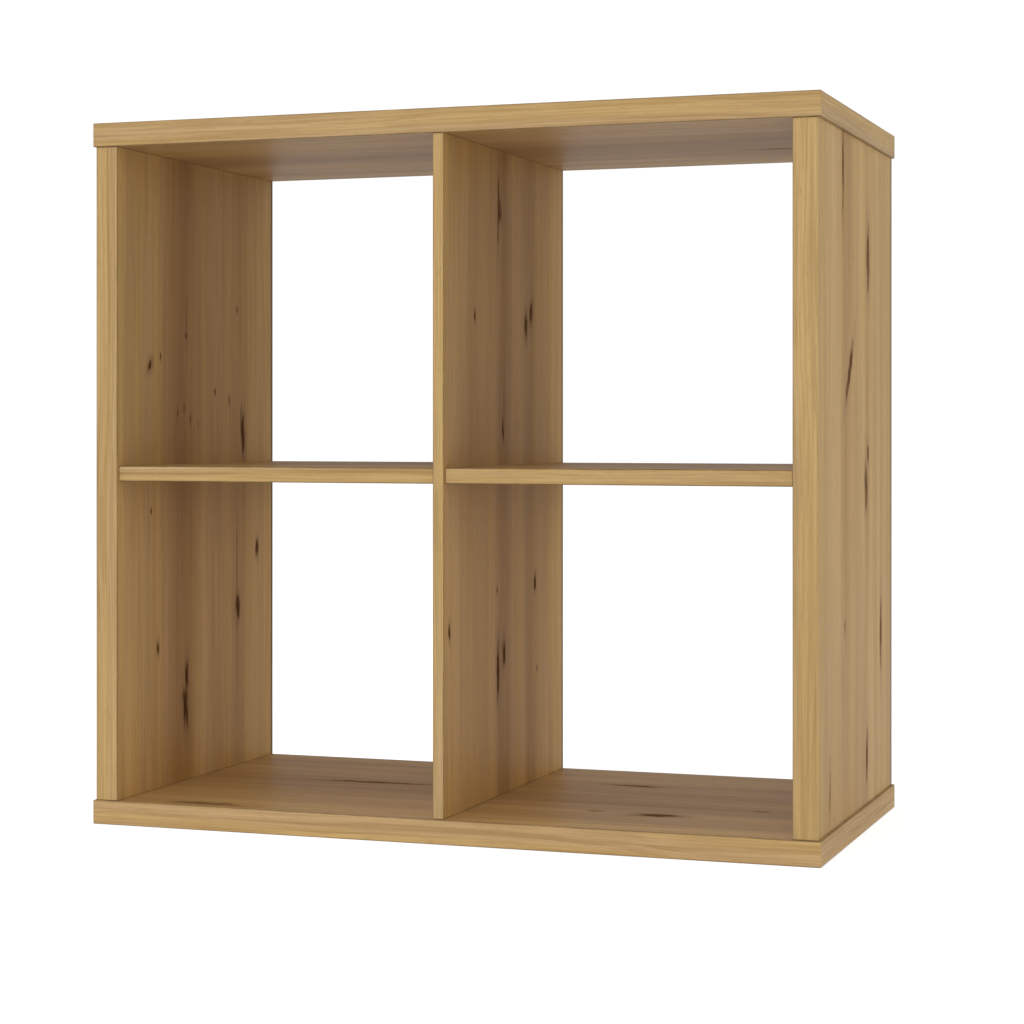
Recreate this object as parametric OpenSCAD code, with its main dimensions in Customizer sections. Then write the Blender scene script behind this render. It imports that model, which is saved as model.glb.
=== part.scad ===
// Open cube storage unit, two cubes wide and two cubes high, with no back panel.
// The top and bottom panels lie over the ends of the sides and of the centre divider, and stand
// out a little past them all round. Two thinner shelves stop short of the front.
// Origin at the middle of the underside; +X to the right, +Y to the back, +Z up. Millimetres.

/* [Overall] */
// Width over the ends of the top and bottom panels
unit_w = 780; // [700:1:900]
// Height from the floor to the upper face of the top panel
unit_h = 740; // [640:1:840]
// Depth over the front and back edges of the top and bottom panels
unit_d = 390; // [360:1:450]

/* [Boards] */
// Thickness of the top, bottom and side boards
frame_t = 25; // [25:0.5:30]
// Thickness of the shelves
shelf_t = 16; // [16:0.5:17]
// Thickness of the centre divider
divider_t = 12; // [12:0.5:19]
// Thickness of the edge bands
band_t = 1; // [0.5:0.1:2]

/* [Overhangs] */
// How far the top and bottom panels stand out past the outer faces of the sides
end_overhang = 3; // [0:0.5:10]
// How far the top and bottom panels stand out past the sides and divider, front and back
edge_overhang = 1.5; // [0:0.5:5]
// How far the shelves' front edges lie behind those of the sides
shelf_setback = 3; // [0:0.5:10]

/* [Frame screws] */
// Outer diameter of the screw thread
screw_d = 7; // [6.3:0.1:7]
// Length of a frame screw, head included
screw_l = 50; // [45:1:60]
// Diameter of the screw head
head_d = 10; // [9:0.5:10]
// Distance of the frame screws and cam locks from the panels' front and back edges
screw_inset = 64; // [60:1:96]
// Diameter of the cover caps in the top panel
cap_d = 12; // [12:0.5:15]

/* [Dowels] */
// Diameter of the wooden dowels at the frame corners and shelf ends
dowel_d = 8; // [6:1:8]
// Length of a frame or shelf dowel
dowel_l = 30; // [28:1:35]
// Distance of the dowels from the panels' front and back edges
dowel_inset = 32; // [28:1:40]
// Diameter of the thin dowels in the ends of the divider
pin_d = 6; // [5:1:6]
// Length of a thin divider dowel
pin_l = 30; // [28:1:35]

/* [Cam locks] */
// Diameter of a cam lock
cam_d = 15; // [15:0.5:16]
// Height of a cam lock
cam_h = 12.5; // [12:0.1:12.5]
// Distance from a shelf's end to the axis of its cam lock
cam_reach = 34; // [30:1:40]
// Diameter of the ball on the end of a cam bolt
ball_d = 6.4; // [6:0.1:6.5]
// Angle that a cam lock turns through from locked to open
cam_turn = 180; // [150:1:190]

/* [Hidden] */
$fn = 48;

FRONT = -1;
BACK = 1;
LEFT = -1;
RIGHT = 1;

oak = "#BF9A66";
oak_band = "#C9A773";
beech = "#D9BC8C";
zinc = "#B9BCC0";
steel = "#9FA3A8";

fit = 0.1;        // gap all round a dowel, screw or cam in its bore
cut = 1;          // how far a cutting shape runs past the face it opens

half_w = unit_w / 2;
half_d = unit_d / 2;
mid_z = unit_h / 2;
side_h = unit_h - 2 * frame_t;
side_in = half_w - end_overhang - frame_t;      // inner face of a side, from the middle
side_mid = side_in + frame_t / 2;               // middle of a side's thickness
board_d = half_d - edge_overhang;               // front and back of the sides and divider
shelf_front = board_d - shelf_setback;          // front edge of a shelf
shelf_low = mid_z - shelf_t / 2;                // underside of a shelf
screw_y = half_d - screw_inset;
dowel_y = half_d - dowel_inset;
panel_dowel = 12.5;                             // part of a dowel inside a panel or a side
bore_spare = 0.5;                               // space left beyond the end of a dowel

// Head of a frame screw: a short rim, then a cone down to the shank
head_rim = 1.5;
head_cone = 2;
shank_d = 6;
shank_l = 13;
core_d = 4.6;
thread_pitch = 3;
tip_l = 2;
socket_af = 4;
socket_depth = 3;

cap_t = 1;                                      // thickness of a cover cap's disc
spigot_l = 2.4;                                 // hexagon under the disc, pushed into the screw
bottom_sink = 0.5;                              // how deep the bottom screws' heads are let in

cam_sink = 0.2;                                 // how far a cam lies above the shelf's underside
cam_bore_h = 13;
cam_throw = 0.45;                               // how far the cam's chamber is off its axis
ball_z = shelf_t / 2 - cam_sink;                // height of the ball above the cam's lower face
chamber_r = ball_d / 2 + cam_throw + 0.25;
chamber_h = ball_d + 0.8;
neck_d = 4;
neck_gap = 0.4;                                 // space above and below the neck in the cam's slot
bolt_d = 7;
bolt_bore_d = 8;
bolt_thread_d = 5;
bolt_root_d = 4;
bolt_pitch = 2;
bolt_thread_l = 11;
neck_l = 10;                                    // thin length of the bolt next to the ball
neck_cone = 2;

// A hexagonal prism given by its width across the flats
module hexagon(across_flats, h) {
    cylinder(d = across_flats / cos(30), h = h, $fn = 6);
}

// The two places along the depth at distance y from the middle
module front_and_back(y) {
    for (side = [FRONT, BACK]) translate([0, side * y, 0]) children();
}

// A shape modelled from the floor up, turned over to hang from the top
module from_top() {
    translate([0, 0, unit_h]) mirror([0, 0, 1]) children();
}

// A shape modelled on the right, set on either side without mirroring it
module on_side(side) {
    rotate(side == RIGHT ? 0 : 180) children();
}

// ---- Boards and edge bands ----

// Space for a frame screw in a panel: recess, head seat and clearance bore, from the outer face in
module screw_seat(recess_d, sink) {
    translate([0, 0, -cut]) cylinder(d = recess_d, h = sink + cut);
    translate([0, 0, sink]) {
        cylinder(d = head_d + 2 * fit, h = head_rim + fit);
        translate([0, 0, head_rim + fit])
            cylinder(d1 = head_d + 2 * fit, d2 = screw_d + 2 * fit, h = head_cone);
    }
    translate([0, 0, sink]) cylinder(d = screw_d + 2 * fit, h = frame_t);
}

// Core of the bottom panel; the top panel is the same board turned over
module panel_core(recess_d, sink) {
    color(oak) difference() {
        translate([-half_w + band_t, -half_d + band_t, 0])
            cube([unit_w - 2 * band_t, unit_d - 2 * band_t, frame_t]);
        for (side = [LEFT, RIGHT]) translate([side * side_mid, 0, 0]) {
            front_and_back(screw_y) screw_seat(recess_d, sink);
            front_and_back(dowel_y) panel_dowel_bore(dowel_d);
        }
        panel_dowel_bore(pin_d);
        front_and_back(screw_y) panel_dowel_bore(pin_d);
    }
}

// Blind bore in the inner face of the bottom panel
module panel_dowel_bore(d) {
    translate([0, 0, frame_t - panel_dowel - bore_spare])
        cylinder(d = d + 2 * fit, h = panel_dowel + bore_spare + cut);
}

// Edge band along the front or back of the bottom panel, over the ends of the short bands
module panel_long_band(side) {
    color(oak_band) translate([-half_w, side == FRONT ? -half_d : half_d - band_t, 0])
        cube([unit_w, band_t, frame_t]);
}

// Edge band on the left or right end of the bottom panel
module panel_short_band(side) {
    color(oak_band) translate([side == LEFT ? -half_w : half_w - band_t, -half_d + band_t, 0])
        cube([band_t, unit_d - 2 * band_t, frame_t]);
}

module bottom_panel() { panel_core(head_d + 2 * fit, bottom_sink); }
module bottom_front_band() { panel_long_band(FRONT); }
module bottom_back_band() { panel_long_band(BACK); }
module bottom_left_band() { panel_short_band(LEFT); }
module bottom_right_band() { panel_short_band(RIGHT); }

module top_panel() { from_top() panel_core(cap_d + 2 * fit, cap_t); }
module top_front_band() { from_top() panel_long_band(FRONT); }
module top_back_band() { from_top() panel_long_band(BACK); }
module top_left_band() { from_top() panel_short_band(LEFT); }
module top_right_band() { from_top() panel_short_band(RIGHT); }

// Core of an upright board on the bottom panel, thickness t, with its middle plane at x = 0
module upright_core(t) {
    translate([-t / 2, -board_d + band_t, frame_t]) cube([t, 2 * (board_d - band_t), side_h]);
}

// Front or back edge band of an upright board, thickness t
module upright_band(t, side) {
    color(oak_band) translate([-t / 2, side == FRONT ? -board_d : board_d - band_t, frame_t])
        cube([t, band_t, side_h]);
}

// Bores in the lower end of a side for the frame screws and corner dowels
module side_end_bores() {
    front_and_back(screw_y) translate([0, 0, frame_t - cut])
        cylinder(d = screw_d + 2 * fit, h = screw_l + cap_t - frame_t + 2 * cut);
    front_and_back(dowel_y) translate([0, 0, frame_t - cut])
        cylinder(d = dowel_d + 2 * fit, h = dowel_l - panel_dowel + bore_spare + cut);
}

// Bores in the inner face of a side for the shelf's dowels and cam bolts
module side_face_bores() {
    translate([-frame_t / 2 - cut, 0, mid_z]) {
        front_and_back(dowel_y) rotate([0, 90, 0])
            cylinder(d = dowel_d + 2 * fit, h = panel_dowel + bore_spare + cut);
        front_and_back(screw_y) rotate([0, 90, 0])
            cylinder(d = bolt_thread_d + 2 * fit, h = bolt_thread_l + bore_spare + cut);
    }
}

// A side board, the same on both sides and turned half round for the left
module side_board(side) {
    color(oak) on_side(side) translate([side_mid, 0, 0]) difference() {
        upright_core(frame_t);
        side_end_bores();
        from_top() side_end_bores();
        side_face_bores();
    }
}

module left_side() { side_board(LEFT); }
module left_side_front_band() { translate([-side_mid, 0, 0]) upright_band(frame_t, FRONT); }
module left_side_back_band() { translate([-side_mid, 0, 0]) upright_band(frame_t, BACK); }
module right_side() { side_board(RIGHT); }
module right_side_front_band() { translate([side_mid, 0, 0]) upright_band(frame_t, FRONT); }
module right_side_back_band() { translate([side_mid, 0, 0]) upright_band(frame_t, BACK); }

// Bores for the three thin dowels in the lower end of the divider
module divider_end_bores() {
    for (y = [-screw_y, 0, screw_y]) translate([0, y, frame_t - cut])
        cylinder(d = pin_d + 2 * fit, h = pin_l - panel_dowel + bore_spare + cut);
}

// The divider, bored right through where the shelves' dowels and double bolts pass
module centre_divider() {
    color(oak) difference() {
        upright_core(divider_t);
        divider_end_bores();
        from_top() divider_end_bores();
        translate([-divider_t / 2 - cut, 0, mid_z]) {
            front_and_back(dowel_y) rotate([0, 90, 0])
                cylinder(d = dowel_d + 2 * fit, h = divider_t + 2 * cut);
            front_and_back(screw_y) rotate([0, 90, 0])
                cylinder(d = bolt_d + 2 * fit, h = divider_t + 2 * cut);
        }
    }
}

module divider_front_band() { upright_band(divider_t, FRONT); }
module divider_back_band() { upright_band(divider_t, BACK); }

// Bores in one end of a shelf, from its end face at x = 0 towards +X
module shelf_end_bores() {
    translate([-cut, 0, mid_z]) {
        front_and_back(dowel_y) rotate([0, 90, 0])
            cylinder(d = dowel_d + 2 * fit, h = dowel_l - panel_dowel + bore_spare + cut);
        front_and_back(screw_y) rotate([0, 90, 0])
            cylinder(d = bolt_bore_d, h = cam_reach + cut);
    }
    front_and_back(screw_y) translate([cam_reach, 0, shelf_low - cut])
        cylinder(d = cam_d + 2 * fit, h = cam_bore_h + cut);
}

// A shelf, between the divider and a side
module shelf_board(side) {
    inner = divider_t / 2;
    color(oak) difference() {
        translate([side == RIGHT ? inner : -side_in, -shelf_front + band_t, shelf_low])
            cube([side_in - inner, shelf_front + board_d - 2 * band_t, shelf_t]);
        translate([side == RIGHT ? inner : -side_in, 0, 0]) shelf_end_bores();
        translate([side == RIGHT ? side_in : -inner, 0, 0]) mirror([1, 0, 0]) shelf_end_bores();
    }
}

// Front or back edge band of a shelf
module shelf_band(side, edge) {
    inner = divider_t / 2;
    color(oak_band)
        translate([side == RIGHT ? inner : -side_in, edge == FRONT ? -shelf_front : board_d - band_t,
                   shelf_low])
        cube([side_in - inner, band_t, shelf_t]);
}

module left_shelf() { shelf_board(LEFT); }
module left_shelf_front_band() { shelf_band(LEFT, FRONT); }
module left_shelf_back_band() { shelf_band(LEFT, BACK); }
module right_shelf() { shelf_board(RIGHT); }
module right_shelf_front_band() { shelf_band(RIGHT, FRONT); }
module right_shelf_back_band() { shelf_band(RIGHT, BACK); }

// ---- Dowels ----

// A wooden dowel with chamfered ends, standing on z = 0
module dowel(d, l) {
    chamfer = 1;
    color(beech) {
        cylinder(d1 = d - 2 * chamfer, d2 = d, h = chamfer);
        translate([0, 0, chamfer]) cylinder(d = d, h = l - 2 * chamfer);
        translate([0, 0, l - chamfer]) cylinder(d1 = d, d2 = d - 2 * chamfer, h = chamfer);
    }
}

// The two dowels between the bottom panel and a side
module corner_dowels(side) {
    front_and_back(dowel_y) translate([side * side_mid, 0, frame_t - panel_dowel])
        dowel(dowel_d, dowel_l);
}

// The three thin dowels between the bottom panel and the divider
module divider_end_dowels() {
    for (y = [-screw_y, 0, screw_y]) translate([0, y, frame_t - panel_dowel]) dowel(pin_d, pin_l);
}

// The two dowels between a side and its shelf
module shelf_end_dowels(side) {
    on_side(side) front_and_back(dowel_y)
        translate([side_in + panel_dowel, 0, mid_z]) rotate([0, -90, 0]) dowel(dowel_d, dowel_l);
}

module bottom_left_dowels() { corner_dowels(LEFT); }
module bottom_right_dowels() { corner_dowels(RIGHT); }
module top_left_dowels() { from_top() corner_dowels(LEFT); }
module top_right_dowels() { from_top() corner_dowels(RIGHT); }
module divider_bottom_dowels() { divider_end_dowels(); }
module divider_top_dowels() { from_top() divider_end_dowels(); }
module left_shelf_dowels() { shelf_end_dowels(LEFT); }
module right_shelf_dowels() { shelf_end_dowels(RIGHT); }

// Two long dowels pass through the divider and into both shelves
module divider_shelf_dowels() {
    long_l = divider_t + 2 * (dowel_l - panel_dowel);
    front_and_back(dowel_y) translate([-long_l / 2, 0, mid_z]) rotate([0, 90, 0])
        dowel(dowel_d, long_l);
}

// ---- Frame screws and cover caps ----

// Ridges of a coarse wood thread on a core, from z = 0 to z = l
module thread(outer_d, root_d, pitch, l) {
    turns = floor(l / pitch);
    crest = 0.15 * pitch;
    ridge = [[root_d / 2, 0.2 * pitch], [outer_d / 2, 0.5 * pitch],
             [outer_d / 2, 0.5 * pitch + crest], [root_d / 2, 0.8 * pitch]];
    rotate_extrude() polygon(concat(
        [[0, 0], [root_d / 2, 0]],
        [for (i = [0:turns - 1], p = ridge) [p[0], p[1] + i * pitch]],
        [[root_d / 2, l], [0, l]]));
}

// Frame screw with a countersunk head and a hexagon socket; head's outer face at z = 0
module frame_screw() {
    color(steel) difference() {
        union() {
            cylinder(d = head_d, h = head_rim);
            translate([0, 0, head_rim]) cylinder(d1 = head_d, d2 = shank_d, h = head_cone);
            translate([0, 0, head_rim + head_cone]) cylinder(d = shank_d, h = shank_l);
            translate([0, 0, head_rim + head_cone + shank_l])
                thread(screw_d, core_d, thread_pitch,
                       screw_l - head_rim - head_cone - shank_l - tip_l);
            translate([0, 0, screw_l - tip_l]) cylinder(d1 = core_d, d2 = 1, h = tip_l);
        }
        translate([0, 0, -cut]) hexagon(socket_af, socket_depth + cut);
    }
}

// The two screws through the bottom panel into a side
module side_screws(side, sink) {
    front_and_back(screw_y) translate([side * side_mid, 0, sink]) frame_screw();
}

// Cover cap let in flush over a screw in the top panel, held by its hexagonal spigot
module cover_caps(side) {
    from_top() front_and_back(screw_y) translate([side * side_mid, 0, 0]) color(oak_band) {
        cylinder(d = cap_d, h = cap_t);
        translate([0, 0, cap_t - fit]) hexagon(socket_af - 2 * fit, spigot_l + fit);
    }
}

module bottom_left_screws() { side_screws(LEFT, bottom_sink); }
module bottom_right_screws() { side_screws(RIGHT, bottom_sink); }
module top_left_screws() { from_top() side_screws(LEFT, cap_t); }
module top_right_screws() { from_top() side_screws(RIGHT, cap_t); }
module top_left_caps() { cover_caps(LEFT); }
module top_right_caps() { cover_caps(RIGHT); }

// ---- Cam locks and their bolts ----

// Free end of a cam bolt: shank, thin neck and ball, from the board's face at z = 0
module bolt_end() {
    cylinder(d = bolt_d, h = cam_reach - neck_l);
    translate([0, 0, cam_reach - neck_l]) cylinder(d1 = bolt_d, d2 = neck_d, h = neck_cone);
    translate([0, 0, cam_reach - neck_l]) cylinder(d = neck_d, h = neck_l);
    translate([0, 0, cam_reach]) sphere(d = ball_d);
}

// Two bolts screwed into a side, pointing into its shelf
module side_cam_bolts(side) {
    color(steel) on_side(side) front_and_back(screw_y) translate([side_in, 0, mid_z]) {
        rotate([0, -90, 0]) bolt_end();
        rotate([0, 90, 0]) thread(bolt_thread_d, bolt_root_d, bolt_pitch, bolt_thread_l);
    }
}

module left_cam_bolts() { side_cam_bolts(LEFT); }
module right_cam_bolts() { side_cam_bolts(RIGHT); }

// Two double-ended bolts through the divider, with a ball in each shelf
module divider_cam_bolts() {
    color(steel) front_and_back(screw_y) translate([0, 0, mid_z]) {
        translate([-divider_t / 2, 0, 0]) rotate([0, 90, 0]) cylinder(d = bolt_d, h = divider_t);
        translate([divider_t / 2, 0, 0]) rotate([0, 90, 0]) bolt_end();
        translate([-divider_t / 2, 0, 0]) rotate([0, -90, 0]) bolt_end();
    }
}

// Cam lock in its locked position for a bolt that comes from +X, lower face at z = 0.
// The chamber round the ball is off the axis, so turning the cam draws the bolt in. The slot
// lets the neck pass at every angle up to the mouth, through which the ball enters.
module cam_body() {
    margin = asin((neck_d / 2 + neck_gap) / (chamber_r - cam_throw));
    driver_t = 1.2;
    driver_l = 8;
    driver_depth = 2.5;
    color(zinc) difference() {
        cylinder(d = cam_d, h = cam_h);
        translate([-cam_throw, 0, ball_z - chamber_h / 2]) cylinder(r = chamber_r, h = chamber_h);
        translate([0, 0, ball_z - neck_d / 2 - neck_gap]) rotate(-margin)
            rotate_extrude(angle = cam_turn + 2 * margin) translate([1, 0])
            square([cam_d / 2 + cut - 1, neck_d + 2 * neck_gap]);
        translate([0, 0, ball_z]) rotate([0, 90, cam_turn])
            cylinder(d = chamber_h, h = cam_d / 2 + cut);
        for (a = [0, 90]) rotate(a) translate([-driver_l / 2, -driver_t / 2, -cut])
            cube([driver_l, driver_t, driver_depth + cut]);
    }
}

// A cam lock from below in a shelf: side is the shelf, end is the bolt's direction in x
module cam_lock(side, end, depth_side) {
    outer = side_in - cam_reach;
    inner = divider_t / 2 + cam_reach;
    translate([side * (side == end ? outer : inner), depth_side * screw_y, shelf_low + cam_sink])
        on_side(end) cam_body();
}

module left_outer_front_cam() { cam_lock(LEFT, LEFT, FRONT); }
module left_outer_back_cam() { cam_lock(LEFT, LEFT, BACK); }
module left_inner_front_cam() { cam_lock(LEFT, RIGHT, FRONT); }
module left_inner_back_cam() { cam_lock(LEFT, RIGHT, BACK); }
module right_inner_front_cam() { cam_lock(RIGHT, LEFT, FRONT); }
module right_inner_back_cam() { cam_lock(RIGHT, LEFT, BACK); }
module right_outer_front_cam() { cam_lock(RIGHT, RIGHT, FRONT); }
module right_outer_back_cam() { cam_lock(RIGHT, RIGHT, BACK); }

bottom_panel();
bottom_front_band();
bottom_back_band();
bottom_left_band();
bottom_right_band();
top_panel();
top_front_band();
top_back_band();
top_left_band();
top_right_band();
left_side();
left_side_front_band();
left_side_back_band();
right_side();
right_side_front_band();
right_side_back_band();
centre_divider();
divider_front_band();
divider_back_band();
left_shelf();
left_shelf_front_band();
left_shelf_back_band();
right_shelf();
right_shelf_front_band();
right_shelf_back_band();
bottom_left_dowels();
bottom_right_dowels();
top_left_dowels();
top_right_dowels();
divider_bottom_dowels();
divider_top_dowels();
left_shelf_dowels();
right_shelf_dowels();
divider_shelf_dowels();
bottom_left_screws();
bottom_right_screws();
top_left_screws();
top_right_screws();
top_left_caps();
top_right_caps();
left_cam_bolts();
right_cam_bolts();
divider_cam_bolts();
left_outer_front_cam();
left_outer_back_cam();
left_inner_front_cam();
left_inner_back_cam();
right_inner_front_cam();
right_inner_back_cam();
right_outer_front_cam();
right_outer_back_cam();
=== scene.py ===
"""Open cube storage unit in a knotty oak finish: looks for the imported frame."""

import math

import bmesh
import bpy
from mathutils import Matrix, Vector


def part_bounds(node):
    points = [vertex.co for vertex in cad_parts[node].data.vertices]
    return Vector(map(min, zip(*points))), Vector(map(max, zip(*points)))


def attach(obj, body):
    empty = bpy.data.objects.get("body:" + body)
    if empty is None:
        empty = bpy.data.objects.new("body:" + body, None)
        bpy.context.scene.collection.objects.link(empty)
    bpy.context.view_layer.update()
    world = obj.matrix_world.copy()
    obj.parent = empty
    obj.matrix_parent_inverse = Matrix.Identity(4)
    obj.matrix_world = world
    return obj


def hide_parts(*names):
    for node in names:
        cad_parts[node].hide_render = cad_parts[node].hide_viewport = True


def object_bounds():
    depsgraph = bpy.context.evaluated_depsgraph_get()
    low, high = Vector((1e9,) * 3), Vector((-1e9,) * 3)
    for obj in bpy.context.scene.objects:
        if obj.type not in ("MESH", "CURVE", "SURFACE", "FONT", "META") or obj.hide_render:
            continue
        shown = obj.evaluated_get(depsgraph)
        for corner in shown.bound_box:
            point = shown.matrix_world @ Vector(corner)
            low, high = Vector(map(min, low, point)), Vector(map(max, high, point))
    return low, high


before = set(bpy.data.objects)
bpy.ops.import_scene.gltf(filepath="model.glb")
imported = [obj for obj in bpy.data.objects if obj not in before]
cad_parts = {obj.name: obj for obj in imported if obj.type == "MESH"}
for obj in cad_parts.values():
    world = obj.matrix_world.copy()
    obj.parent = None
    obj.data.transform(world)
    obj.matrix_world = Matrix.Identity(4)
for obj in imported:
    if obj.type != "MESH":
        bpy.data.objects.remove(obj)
cad_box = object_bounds()

# ---- The room ----
# A white studio: a pale matt floor that runs out of sight, broad soft lights in front and on both
# sides, a faint one behind, and a white surround. The camera is level, a little above the middle
# of the unit and to its right, so uprights stay upright.

scene = bpy.context.scene
unit_low, unit_high = cad_box
unit_middle = (unit_low + unit_high) / 2

VIEW_SIDE = Vector((0.8664, -2.4505, 0.4202))
VIEW_TURN = 0.33586
LENS = 84.6
SENSOR = 36.0
SHIFT_DOWN = -0.084

camera_data = bpy.data.cameras.new("camera")
camera_data.lens = LENS
camera_data.sensor_width = SENSOR
camera_data.shift_y = SHIFT_DOWN
camera = bpy.data.objects.new("camera", camera_data)
camera.location = VIEW_SIDE
camera.rotation_euler = (math.pi / 2, 0, VIEW_TURN)
scene.collection.objects.link(camera)
scene.camera = camera
scene.view_settings.view_transform = "Standard"


def link_object(name, mesh):
    """A mesh as an object in the scene, at the origin."""
    made = bpy.data.objects.new(name, mesh)
    scene.collection.objects.link(made)
    return made


def new_material(name):
    """An empty node material with its Principled shader and output."""
    material = bpy.data.materials.new(name)
    material.use_nodes = True
    tree = material.node_tree
    tree.nodes.clear()
    output = tree.nodes.new("ShaderNodeOutputMaterial")
    shader = tree.nodes.new("ShaderNodeBsdfPrincipled")
    tree.links.new(shader.outputs["BSDF"], output.inputs["Surface"])
    return material, tree, shader


def add_node(tree, kind, settings=None, **inputs):
    """A node with its properties set and its inputs given as values or as other nodes' outputs."""
    node = tree.nodes.new(kind)
    for key, value in (settings or {}).items():
        setattr(node, key, value)
    for key, value in inputs.items():
        socket = node.inputs[int(key[1:]) if key[1:].isdigit() else key.replace("_", " ")]
        if isinstance(value, bpy.types.NodeSocket):
            tree.links.new(value, socket)
        else:
            socket.default_value = value
    return node


def maths(tree, operation, first, second=0.0, third=0.0, clamp=False):
    """One Math node; returns its result."""
    settings = {"operation": operation, "use_clamp": clamp}
    return add_node(tree, "ShaderNodeMath", settings, _0=first, _1=second, _2=third).outputs[0]


def split(tree, vector):
    """A vector's X, Y and Z."""
    return add_node(tree, "ShaderNodeSeparateXYZ", _0=vector).outputs


WHITE = (1.0, 1.0, 1.0, 1.0)
FLOOR_SPAN = 60.0
FLOOR_GAP = 0.0004
FLOOR_GLOW = 0.55
FLOOR_PALE = (0.93, 0.93, 0.93, 1.0)
FLOOR_DULL = (0.90, 0.90, 0.90, 1.0)
FLOOR_CLOUD_SCALE = 1.5
FLOOR_ROUGHNESS = 0.9
# Under the unit the floor is dark and glows for every ray: painted light that lights the bottom
# panel's underside.
UNDER_GLOW = 0.75
UNDER_COLOUR = (0.02, 0.02, 0.02, 1.0)
UNDER_MARGIN = 10 * FLOOR_GAP
floor_shape = bmesh.new()
bmesh.ops.create_grid(floor_shape, x_segments=8, y_segments=8, size=FLOOR_SPAN / 2)
bmesh.ops.translate(floor_shape, verts=floor_shape.verts, vec=(0, 0, unit_low.z - FLOOR_GAP))
floor_mesh = bpy.data.meshes.new("floor")
floor_shape.to_mesh(floor_mesh)
floor_shape.free()
floor = link_object("floor", floor_mesh)
floor_material, floor_tree, floor_shader = new_material("pale_floor")
floor_place = add_node(floor_tree, "ShaderNodeTexCoord").outputs["Object"]
floor_cloud = add_node(floor_tree, "ShaderNodeTexNoise", Vector=floor_place,
                       Scale=FLOOR_CLOUD_SCALE)
floor_tone = add_node(floor_tree, "ShaderNodeMix", {"data_type": "RGBA"},
                      Factor=floor_cloud.outputs["Fac"], _6=FLOOR_DULL, _7=FLOOR_PALE)
floor_shader.inputs["Roughness"].default_value = FLOOR_ROUGHNESS
floor_shader.inputs["Specular IOR Level"].default_value = 0.0
floor_shader.inputs["Emission Color"].default_value = WHITE
floor_seen = add_node(floor_tree, "ShaderNodeLightPath").outputs["Is Camera Ray"]
floor_parts = split(floor_tree, floor_place)
under_x = maths(floor_tree, "LESS_THAN", maths(floor_tree, "ABSOLUTE", floor_parts["X"]),
                unit_high.x - UNDER_MARGIN)
under_y = maths(floor_tree, "LESS_THAN", maths(floor_tree, "ABSOLUTE", floor_parts["Y"]),
                unit_high.y - UNDER_MARGIN)
under_unit = maths(floor_tree, "MULTIPLY", under_x, under_y)
floor_colour = add_node(floor_tree, "ShaderNodeMix", {"data_type": "RGBA"}, Factor=under_unit,
                        _6=floor_tone.outputs[2], _7=UNDER_COLOUR)
floor_tree.links.new(floor_colour.outputs[2], floor_shader.inputs["Base Color"])
# Painted light: the floor under the unit glows, lighting the bottom panel's underside.
under_glow = maths(floor_tree, "MULTIPLY", under_unit, UNDER_GLOW)
floor_glow = maths(floor_tree, "MULTIPLY_ADD", floor_seen, FLOOR_GLOW, under_glow)
floor_tree.links.new(floor_glow, floor_shader.inputs["Emission Strength"])
from_below = add_node(floor_tree, "ShaderNodeNewGeometry").outputs["Backfacing"]
see_through = add_node(floor_tree, "ShaderNodeBsdfTransparent").outputs[0]
one_sided = add_node(floor_tree, "ShaderNodeMixShader", _0=from_below,
                     _1=floor_shader.outputs[0], _2=see_through).outputs[0]
floor_output = next(node for node in floor_tree.nodes if node.type == "OUTPUT_MATERIAL")
floor_tree.links.new(one_sided, floor_output.inputs["Surface"])
floor_mesh.materials.append(floor_material)


def soft_light(name, place, span, watts):
    """A square area light that faces the middle of the unit."""
    light_data = bpy.data.lights.new(name, "AREA")
    light_data.energy = watts
    light_data.size = span
    light = bpy.data.objects.new(name, light_data)
    light.location = place
    light.rotation_euler = (unit_middle - Vector(place)).to_track_quat("-Z", "Y").to_euler()
    scene.collection.objects.link(light)


soft_light("front_light", (0.5, -4.5, 0.6), 2.4, 53)
soft_light("upper_front_light", (0.3, -3.4, 3.2), 2.4, 21)
soft_light("left_light", (-3.6, -1.0, 3.0), 2.4, 45)
soft_light("right_light", (4.5, 0.4, 1.2), 2.4, 38)
soft_light("back_light", (0.0, 4.5, 1.6), 2.8, 3)

SURROUND_SEEN = 1.05
SURROUND_GLOSS = 0.35
SURROUND_LIGHT = 0.56
world = bpy.data.worlds.new("surround")
world.use_nodes = True
world_tree = world.node_tree
world_tree.nodes.clear()
world_rays = add_node(world_tree, "ShaderNodeLightPath").outputs
seen_strength = maths(world_tree, "MULTIPLY_ADD", world_rays["Is Camera Ray"],
                      SURROUND_SEEN - SURROUND_LIGHT, SURROUND_LIGHT)
seen_strength = maths(world_tree, "MULTIPLY_ADD", world_rays["Is Glossy Ray"],
                      SURROUND_GLOSS - SURROUND_LIGHT, seen_strength)
surround = add_node(world_tree, "ShaderNodeBackground", Color=WHITE,
                    Strength=seen_strength)
world_output = add_node(world_tree, "ShaderNodeOutputWorld")
world_tree.links.new(surround.outputs[0], world_output.inputs["Surface"])
scene.world = world

# ---- Bottom panel and its edge bands ----
# A 25 mm particleboard panel faced with a knotty oak decor, its grain running left to right.
# Four 1 mm bands with milled round arrises are glued on: the long ones over the short ones' ends.


def group_tree(name, inputs, outputs):
    """A new shader node group. Inputs and outputs give the sockets' names by their kind."""
    tree = bpy.data.node_groups.new(name, "ShaderNodeTree")
    for way, sockets in (("INPUT", inputs), ("OUTPUT", outputs)):
        for kind, labels in sockets.items():
            for label in labels:
                tree.interface.new_socket(label, in_out=way, socket_type="NodeSocket" + kind)
    source = tree.nodes.new("NodeGroupInput").outputs
    target = tree.nodes.new("NodeGroupOutput").inputs
    return tree, source, target


def vector_maths(tree, operation, first, second=(0.0, 0.0, 0.0)):
    """One Vector Math node; returns its vector."""
    settings = {"operation": operation}
    return add_node(tree, "ShaderNodeVectorMath", settings, _0=first, _1=second).outputs[0]


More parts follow.
